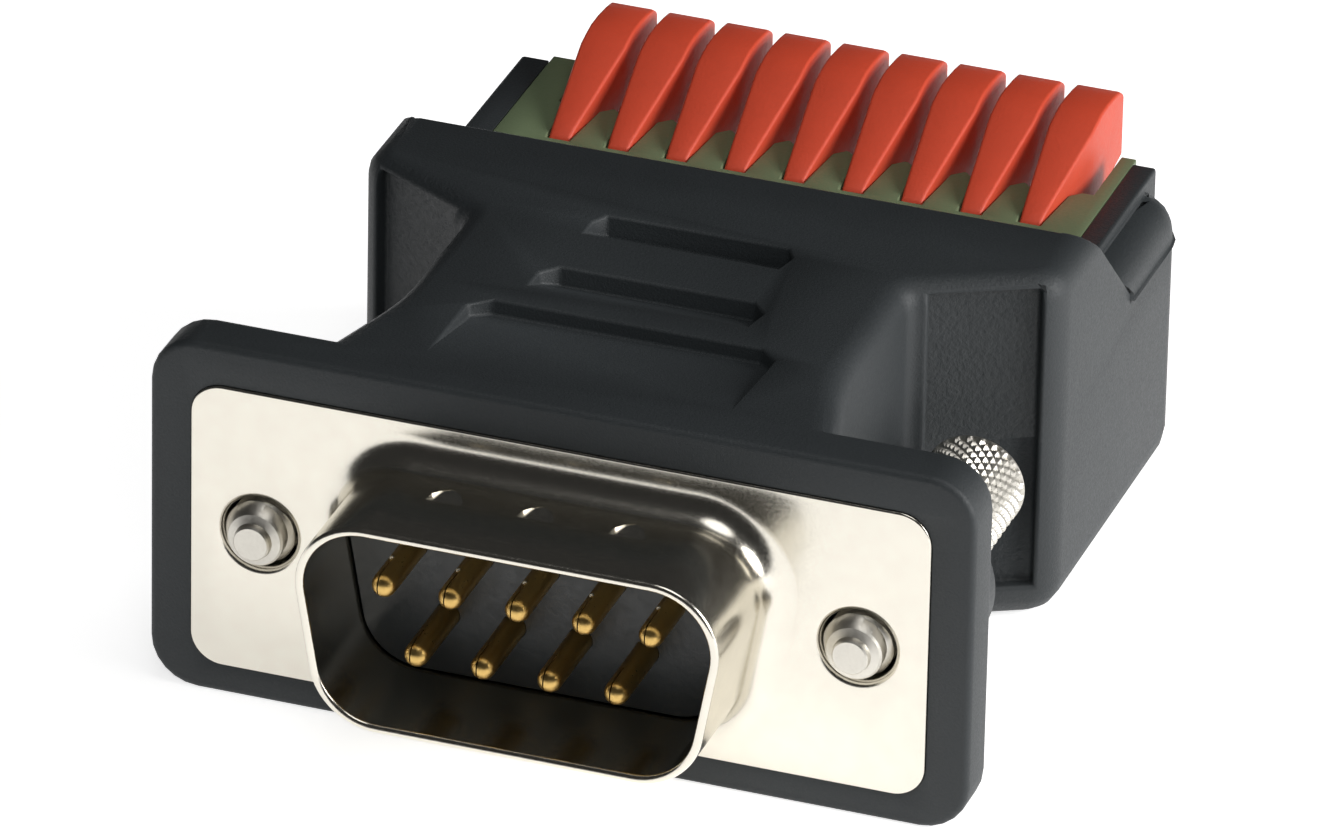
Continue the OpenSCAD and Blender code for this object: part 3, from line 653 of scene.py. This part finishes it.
class ADAPTER_OT_housing(bpy.types.Operator):
    """Round the housing's edges and give it its grained skin"""
    bl_idname = "adapter.housing"
    bl_label = "Housing"

    def execute(self, context):
        for node in ("upper_shell", "lower_shell"):
            piece = merged_copy(node, node + "_moulding")
            round_edges(piece, context.scene.adapter_sizes.edge, 2, 30, self.crispness)
            smooth(piece)
            paint(piece, "housing", "pocket")
            for face in piece.data.polygons:
                face.material_index = int(self.in_pocket(face.center / MM))
            dress(piece, HOUSING, "housing_plastic", node)
        return {"FINISHED"}

    def crispness(self, a, b):
        """The share of the edge radius: none at the joint, little at the seats of plate and block."""
        if max(abs(a.z - SPLIT_Z), abs(b.z - SPLIT_Z)) < 0.01:
            return 0.0
        at_plate = all(abs(p.y - FRAME_Y) < 0.01 and abs(p.x) < COLLAR_HIGH.x + 0.1 for p in (a, b))
        at_block = all(abs(p.z - BLOCK_TOP) < 0.01 and p.x < BLOCK_HIGH.x + 0.1
                       and p.x > BLOCK_LOW.x - 0.1 for p in (a, b))
        return 0.15 if at_plate or at_block else 1.0

    def in_pocket(self, point):
        """Whether a point lies in the rough pocket of either shoulder."""
        x, y = abs(point.x) - NECK_HALF, point.y - SHOULDER_Y
        along = x * math.cos(SHOULDER_SLOPE) + y * math.sin(SHOULDER_SLOPE)
        deep = y * math.cos(SHOULDER_SLOPE) - x * math.sin(SHOULDER_SLOPE)
        length = (BODY_HALF - NECK_HALF) / math.cos(SHOULDER_SLOPE)
        return 0.75 < along < length - 0.8 and POCKET_DEPTH / 2 < deep < POCKET_DEPTH + 0.05


class ADAPTER_OT_plug(bpy.types.Operator):
    """Draw the metal plug: a plate with a D collar, dented on its long sides, and two eyelets"""
    bl_idname = "adapter.plug"
    bl_label = "Metal plug"

    def execute(self, context):
        piece = self.plate()
        combine(piece, self.collar(), "UNION")
        for side in (-1, 1):
            combine(piece, self.eyelet(side), "UNION")
        combine(piece, self.inside(), "DIFFERENCE")
        for side in (-1, 1):
            combine(piece, self.screw_hole(side), "DIFFERENCE")
        for side in (-1, 1):
            for i in (-1, 0, 1):
                combine(piece, self.dent(i * DENT_PITCH, side), "DIFFERENCE")
        smooth(piece, 40)
        paint(piece, "nickel")
        dress(piece, HOUSING, "nickel_plate", "plug_shell")
        return {"FINISHED"}

    def plate(self):
        """The flat plate, with a small radius round its front edge."""
        half_w, half_h = COLLAR_HIGH.x, PLATE_HALF_H
        rings = []
        for y, inset in [(PLATE_T, 0.0)] + [(0.1 - py, 0.1 - px) for py, px in arc((0, 0), 0.1, 0, 90, 4)][::-1]:
            w, h, r = half_w - inset, half_h - inset, PLATE_R - inset
            rings.append([(x, y, z) for x, z in rounded(mirrored([(w, -h, r), (w, h, r)]))])
        return loft("plate", rings)

    def collar(self):
        """The outside of the collar: the drawn root, the wall and half of the rolled rim."""
        rim = COLLAR_WALL / 2
        root = (-ROOT_R, COLLAR_WALL + ROOT_R)
        rings = [d_ring(PLATE_T / 2, root[1])]
        rings += [d_ring(y, grown) for y, grown in arc(root, ROOT_R, 0, -90, 10)]
        rings += [d_ring(y, grown) for grown, y in arc((rim, rim - COLLAR_DEPTH), rim, 0, -90, 5)]
        return loft("collar", rings)

    def inside(self):
        """The room inside the collar, with the other half of the rim."""
        rim = COLLAR_WALL / 2
        rings = [d_ring(PLATE_T + 1, 0.0)]
        rings += [d_ring(y, grown) for grown, y in arc((rim, rim - COLLAR_DEPTH), rim, 180, 268, 5)]
        rings.append(d_ring(-COLLAR_DEPTH - 0.3, rim))
        return loft("inside", rings)

    def eyelet(self, side):
        """The tube drawn back from the plate round a jackscrew."""
        outer = EYELET_R + EYELET_WALL
        tube = lathe("eyelet", [(PLATE_T / 2, 0), (PLATE_T / 2, outer), (EYELET_END, outer), (EYELET_END, 0)], 64)
        tube.data.transform(Matrix.Translation((side * SCREW_X * MM, 0, 0)))
        return tube

    def screw_hole(self, side):
        """The hole for a jackscrew, dished where the metal is drawn in."""
        lip = [(y, EYELET_R + 0.3 - g) for y, g in arc((0.3, 0), 0.3, 180, 90, 6)]
        hole = lathe("hole", [(-0.2, 0), (-0.2, lip[0][1] + 0.02)] + lip
                     + [(EYELET_END + 0.3, EYELET_R), (EYELET_END + 0.3, 0)], 64)
        hole.data.transform(Matrix.Translation((side * SCREW_X * MM, 0, 0)))
        return hole

    def dent(self, x, side):
        """A half-moon dent in the top or the underside of the collar, deepest at its straight edge."""
        top = COLLAR_INNER[1] / 2 + COLLAR_WALL
        rings = []
        for inset, is_floor in ((-0.03, False), (0.03, True)):
            points = [(DENT_R - inset, 0, 0.1)] + [
                (px * (DENT_R - inset), py * (DENT_LENGTH - inset), 0.1)
                for px, py in arc((0, 0), 1.0, 30, 150, 4)] + [(inset - DENT_R, 0, 0.1)]
            rings.append([(x + px, DENT_EDGE_Y + inset + py,
                           side * (top - DENT_DEPTH * (1 - py / DENT_LENGTH) if is_floor else top + 0.1))
                          for px, py in rounded(points, 4)])
        return loft("dent", rings)


class ADAPTER_OT_insulator(bpy.types.Operator):
    """Mould the front insulator round the nine pins"""
    bl_idname = "adapter.insulator"
    bl_label = "Insulator"

    def execute(self, context):
        piece = loft("front_insulator_moulding", [
            d_ring(INSULATOR_Y[2], 0.8), d_ring(INSULATOR_Y[1], 0.8), d_ring(INSULATOR_Y[1], -0.05),
            d_ring(INSULATOR_Y[0] + 0.08, -0.05), d_ring(INSULATOR_Y[0], -0.12)])
        for count, z in ((UPPER_PINS, ROW_Z), (POLES - UPPER_PINS, -ROW_Z)):
            bore = lathe("bore", [(-1.5, 0), (-1.5, PIN_R + 0.02), (1.5, PIN_R + 0.02), (1.5, 0)], 32)
            combine(piece, repeat_row("bores", bore, "insulator", count, z), "DIFFERENCE")
        smooth(piece)
        paint(piece, "insulator")
        dress(piece, HOUSING, "insulator_plastic", "front_insulator")
        return {"FINISHED"}


def repeat_row(name, item, key, count, z, shift=0.0):
    """A row of copies of an item, one at each pin of a row."""
    row = mesh_from(name, [], [])
    first = shift - (count - 1) / 2 * PIN_PITCH
    apply_tree(row, row_tree("Row of " + name, key), Item=item, Count=count, First_X=first * MM,
               Spacing=PIN_PITCH * MM, Z=z * MM)
    bpy.data.objects.remove(item)
    return row


class ADAPTER_OT_pins(bpy.types.Operator):
    """Roll the nine contact pins: a round tip with the roll's slit, a barrel and a bent solder tail"""
    bl_idname = "adapter.pins"
    bl_label = "Contact pins"

    def execute(self, context):
        rows = ((1, UPPER_PINS, ROW_Z, TAIL_Y[0]), (UPPER_PINS + 1, POLES, -ROW_Z, TAIL_Y[1]))
        for (first, last, z, tail_y), level in zip(rows, ("upper", "lower")):
            nodes = [f"contact_pin_{i}" for i in range(first, last + 1)]
            tip_y, end_z = node_box(nodes[0])[0].yz
            pin = self.pin(tip_y, tail_y, end_z - z)
            row = repeat_row(f"{level}_pins_rolled", pin, "gold", len(nodes), z)
            smooth(row, 40)
            dress(row, HOUSING, "gold_plate", *nodes)
        # A bright bead on the upper left of each upper pin: a painted highlight, a small tin dome that stands in for a
        # glint of light there and is no part of the pin
        radius = context.scene.adapter_sizes.bead / 2
        bead = loft("bead", [[(a * radius, y * radius + GLINT_BEAD_PLACE[1], b * radius) for a, b in arc((0, 0), r, 0, 330, 11)]
                             for y, r in arc((0, 0), 1.0, 170, 10, 8)])
        glint_beads = repeat_row("pin_beads", bead, "bead", UPPER_PINS, ROW_Z + GLINT_BEAD_PLACE[2], GLINT_BEAD_PLACE[0])
        smooth(glint_beads, 60)
        dress(glint_beads, HOUSING, "gold_plate")
        return {"FINISHED"}

    def pin(self, tip_y, tail_y, end_z):
        """One pin on its own axis."""
        bend_y = tail_y - TAIL_BEND
        path = [(tip_y + PIN_R - y, 0.0, max(r, 0.01)) for y, r in arc((0, 0), PIN_R, 0, 90, 8)]
        path += [(BARREL_ENDS[0] - 0.001, 0.0, PIN_R), (BARREL_ENDS[0], 0.0, BARREL_R)]
        path += [(BARREL_ENDS[1], 0.0, BARREL_R), (BARREL_ENDS[1] + 0.001, 0.0, TAIL_R)]
        path += [(bend_y + y, z - TAIL_BEND, TAIL_R) for y, z in arc((0, 0), TAIL_BEND, 90, 0, 8)]
        path.append((tail_y, end_z, TAIL_R))
        pin = sweep("pin", path)
        slit = loft("slit", [[(x, tip_y + y, z) for x, z in ((-0.17, -0.6), (-0.11, -0.6), (-0.11, 0.6), (-0.17, 0.6))]
                             for y in (-0.1, 1.6)])
        combine(pin, slit, "DIFFERENCE")
        return pin


class ADAPTER_OT_thumbscrews(bpy.types.Operator):
    """Turn the two thumbscrews, cut their threads and knurl their heads"""
    bl_idname = "adapter.thumbscrews"
    bl_label = "Thumbscrews"

    def execute(self, context):
        sizes = context.scene.adapter_sizes
        thread = groove_tree("Thread", False)
        knurl = groove_tree("Knurl", True)
        for side, node in (("left", "left_thumbscrew"), ("right", "right_thumbscrew")):
            low, high = node_box(node)
            axis_x = (low.x + high.x) / 2
            head_r = (high.x - low.x) / 2
            knurl_pitch = math.tau * head_r / sizes.knurl_starts
            columns = sizes.knurl_starts * 8
            head_y = high.y - HEAD_LENGTH
            piece = lathe(f"{side}_thumbscrew_turned", self.profile(low.y, head_y, high.y, head_r,
                          knurl_pitch / 8, sizes.thread_pitch / 10), columns)
            apply_tree(piece, thread, Radius=THREAD_R * MM, Start=(low.y + TIP[-1][0]) * MM, End=THREAD_END * MM,
                       Starts=1.0, Pitch=sizes.thread_pitch * MM, Depth=sizes.thread_depth * MM, Flat=0.12)
            apply_tree(piece, knurl, Radius=head_r * MM, Start=(head_y + 0.42) * MM,
                       End=(high.y - 0.42) * MM, Starts=float(sizes.knurl_starts),
                       Pitch=knurl_pitch * MM, Depth=sizes.knurl_depth * MM, Flat=0.2)
            piece.data.transform(Matrix.Translation((axis_x * MM, 0, 0)))
            smooth(piece, 25)
            dress(piece, f"{side}_screw_body", "screw_nickel", node)
        return {"FINISHED"}

    def profile(self, tip_y, head_y, end_y, head_r, head_step, thread_step):
        """The (y, radius) points of a screw, close together where it is cut."""
        points = [(tip_y, 0.0)] + [(tip_y + y, radius) for y, radius in TIP[:-1]]
        points += spaced((tip_y + TIP[-1][0], THREAD_R), (THREAD_END, THREAD_R), thread_step)
        points += [(THREAD_END + 0.35, SHANK_R), (head_y, SHANK_R), (head_y, head_r - 0.3)]
        points += spaced((head_y + 0.3, head_r), (end_y - 0.35, head_r), head_step)
        return points + [(end_y, head_r - 0.35), (end_y, 0.0)]


class ADAPTER_OT_block(bpy.types.Operator):
    """Round the terminal block's edges and colour it"""
    bl_idname = "adapter.block"
    bl_label = "Terminal block"

    def execute(self, context):
        piece = merged_copy("terminal_block", "terminal_block_moulding")
        round_edges(piece, context.scene.adapter_sizes.block_edge, 2)
        smooth(piece)
        paint(piece, "block")
        dress(piece, HOUSING, "block_plastic", "terminal_block")
        return {"FINISHED"}


class ADAPTER_OT_levers(bpy.types.Operator):
    """Mould the nine levers"""
    bl_idname = "adapter.levers"
    bl_label = "Levers"

    def execute(self, context):
        for i in range(1, POLES + 1):
            body = f"lever_body_{i}"
            hinge = joint_place(f"lever_joint_{i}")
            low, high = node_box(f"lever_{i}")
            piece = self.blade(f"lever_{i}_moulding", hinge, low, high)
            round_edges(piece, context.scene.adapter_sizes.lever_edge, 4)
            for part in self.root(hinge, low):
                combine(piece, part, "UNION")
            smooth(piece, 40)
            paint(piece, "lever")
            dress(piece, body, "lever_plastic", f"lever_{i}")
        return {"FINISHED"}

    def blade(self, name, hinge, low, high):
        """The stem and head, as a loft of upright sections from the front to the rear."""
        stem, head = LEVER_STEM / 2, (high.x - low.x) / 2
        rings = []
        start, end = LEVER_SPREAD
        for y, bottom, top in LEVER_SECTIONS:
            half = stem + (head - stem) * min(max((y - start) / (end - start), 0), 1)
            rings.append([(hinge.x - half, hinge.y + y, hinge.z + bottom),
                          (hinge.x + half, hinge.y + y, hinge.z + bottom),
                          (hinge.x + half, hinge.y + y, hinge.z + top),
                          (hinge.x - half, hinge.y + y, hinge.z + top)])
        return loft(name, rings)

    def root(self, hinge, low):
        """The disc and pin of the hinge, and the foot that presses the spring."""
        for radius, half in ((LEVER_ROOT_R, LEVER_STEM / 2 - 0.004), (LEVER_PIN_R, LEVER_PIN_HALF)):
            rings = [[(hinge.x + s * half, hinge.y + radius * math.cos(math.tau * k / 48),
                       hinge.z + radius * math.sin(math.tau * k / 48)) for k in range(48)] for s in (-1, 1)]
            yield loft("hinge", rings)
        rings = [[(hinge.x + s * LEVER_FOOT_HALF, hinge.y + y, hinge.z + z) for y, z in LEVER_FOOT]
                 for s in (-1, 1)]
        yield loft("foot", rings)


class ADAPTER_OT_inside(bpy.types.Operator):
    """Finish the board, springs and other pieces inside"""
    bl_idname = "adapter.inside"
    bl_label = "Inside"

    def execute(self, context):
        finishes = {"rear_bracket": "nickel", "rear_insulator": "insulator", "circuit_board": "board"}
        for i in range(1, POLES + 1):
            finishes[f"clamp_spring_{i}"] = "steel"
            finishes[f"terminal_contact_{i}"] = "tin"
        for node, key in finishes.items():
            piece = frame["nodes"][node]
            piece.data.materials.clear()
            piece.data.materials.append(finish(key))
        return {"FINISHED"}


class ADAPTER_OT_stage(bpy.types.Operator):
    """Place the floor, the lamps and the camera"""
    bl_idname = "adapter.stage"
    bl_label = "Stage"

    def execute(self, context):
        scene = context.scene
        stage = scene.adapter_stage
        self.add_floor(scene)
        self.add_world(scene)
        centre = Vector((0, 12, 0)) * MM
        # A broad lamp low on the right, a fill on the left and front, and a soft one overhead
        self.add_lamp("Key", centre, 94, 22, 0.4, 0.26, 1.55)
        self.add_lamp("Fill", centre, 12, 34, 0.45, 0.3, 0.5, False)
        self.add_lamp("Top", centre, 60, 76, 0.45, 0.3, 0.42)
        self.add_camera(scene, stage)
        scene.view_settings.view_transform = "Standard"
        return {"FINISHED"}

    def add_floor(self, scene):
        half = 1.5
        mesh = bpy.data.meshes.new("floor")
        z = BASE_Z * MM
        mesh.from_pydata([(-half, -half, z), (half, -half, z), (half, half, z), (-half, half, z)], [],
                         [(0, 1, 2, 3)])
        floor = add_object("floor", mesh)
        material, tree, shader, _ = new_material("White paper")
        shader.inputs["Base Color"].default_value = linear(scene.adapter_colours.floor)
        shader.inputs["Roughness"].default_value = 0.9
        # The paper glows a little to the camera and in reflections, so that it is white round the shadow
        path = tree.nodes.new("ShaderNodeLightPath")
        seen = maths(tree, "MAXIMUM", path.outputs["Is Camera Ray"], path.outputs["Is Transmission Ray"])
        seen = maths(tree, "MAXIMUM", seen, path.outputs["Is Glossy Ray"])
        shader.inputs["Emission Color"].default_value = (1, 1, 1, 1)
        tree.links.new(ramp(tree, seen, 0.0, 0.7), shader.inputs["Emission Strength"])
        mesh.materials.append(material)

    def add_world(self, scene):
        world = bpy.data.worlds.new("Studio")
        scene.world = world
        world.use_nodes = True
        tree = world.node_tree
        tree.nodes.clear()
        light = add(tree, "ShaderNodeBackground", None, Color=(1, 1, 1, 1), Strength=0.03)
        add(tree, "ShaderNodeOutputWorld", None, Surface=light.outputs[0])

    def add_lamp(self, name, centre, azimuth, elevation, distance, size, power, mirrored=True):
        a, e = math.radians(azimuth), math.radians(elevation)
        back = Vector((math.sin(a) * math.cos(e), -math.cos(a) * math.cos(e), math.sin(e)))
        lamp = bpy.data.lights.new(name, "AREA")
        lamp.shape = "DISK"
        lamp.size = size
        lamp.energy = power
        piece = add_object(name, lamp)
        piece.visible_glossy = mirrored
        piece.location = centre + back * distance
        piece.rotation_mode = "QUATERNION"
        piece.rotation_quaternion = (-back).to_track_quat("-Z", "Y")

    def add_camera(self, scene, stage):
        a, e = stage.azimuth, stage.elevation
        back = Vector((math.sin(a) * math.cos(e), -math.cos(a) * math.cos(e), math.sin(e)))
        right = Vector((math.cos(a), math.sin(a), 0))
        up = back.cross(right)
        right, up = (math.cos(stage.roll) * right + math.sin(stage.roll) * up,
                     math.cos(stage.roll) * up - math.sin(stage.roll) * right)
        camera = bpy.data.cameras.new("Camera")
        camera.sensor_width = 36
        camera.lens = stage.focal
        camera.clip_start, camera.clip_end = 0.01, 10
        piece = bpy.data.objects.new("Camera", camera)
        scene.collection.objects.link(piece)
        turn = Matrix((right, up, back)).transposed().to_4x4()
        piece.matrix_world = Matrix.Translation(Vector(stage.target) + back * stage.distance) @ turn
        scene.camera = piece


STEPS = (
    ADAPTER_OT_stage, ADAPTER_OT_housing, ADAPTER_OT_plug, ADAPTER_OT_insulator, ADAPTER_OT_pins,
    ADAPTER_OT_thumbscrews, ADAPTER_OT_block, ADAPTER_OT_levers, ADAPTER_OT_inside,
)


class ADAPTER_PT_panel(bpy.types.Panel):
    """Lists the adapter's settings and steps"""
    bl_idname = "ADAPTER_PT_panel"
    bl_label = "Lever terminal adapter"
    bl_space_type = "VIEW_3D"
    bl_region_type = "UI"
    bl_category = "Adapter"

    def draw(self, context):
        layout = self.layout
        for group in (context.scene.adapter_sizes, context.scene.adapter_colours,
                      context.scene.adapter_stage):
            box = layout.box()
            for key in group.__annotations__:
                box.prop(group, key)
        for step in STEPS:
            layout.operator(step.bl_idname)


GROUPS = {"adapter_sizes": AdapterSizes, "adapter_colours": AdapterColours, "adapter_stage": AdapterStage}


def register():
    for name, group in GROUPS.items():
        bpy.utils.register_class(group)
        setattr(bpy.types.Scene, name, PointerProperty(type=group))
    for step in STEPS:
        bpy.utils.register_class(step)
    bpy.utils.register_class(ADAPTER_PT_panel)


def unregister():
    bpy.utils.unregister_class(ADAPTER_PT_panel)
    for step in reversed(STEPS):
        bpy.utils.unregister_class(step)
    for name, group in reversed(list(GROUPS.items())):
        delattr(bpy.types.Scene, name)
        bpy.utils.unregister_class(group)


def main():
    """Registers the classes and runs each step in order."""
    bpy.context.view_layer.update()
    register()
    for step in STEPS:
        area, name = step.bl_idname.split(".")
        getattr(getattr(bpy.ops, area), name)()


if __name__ == "__main__":
    main()
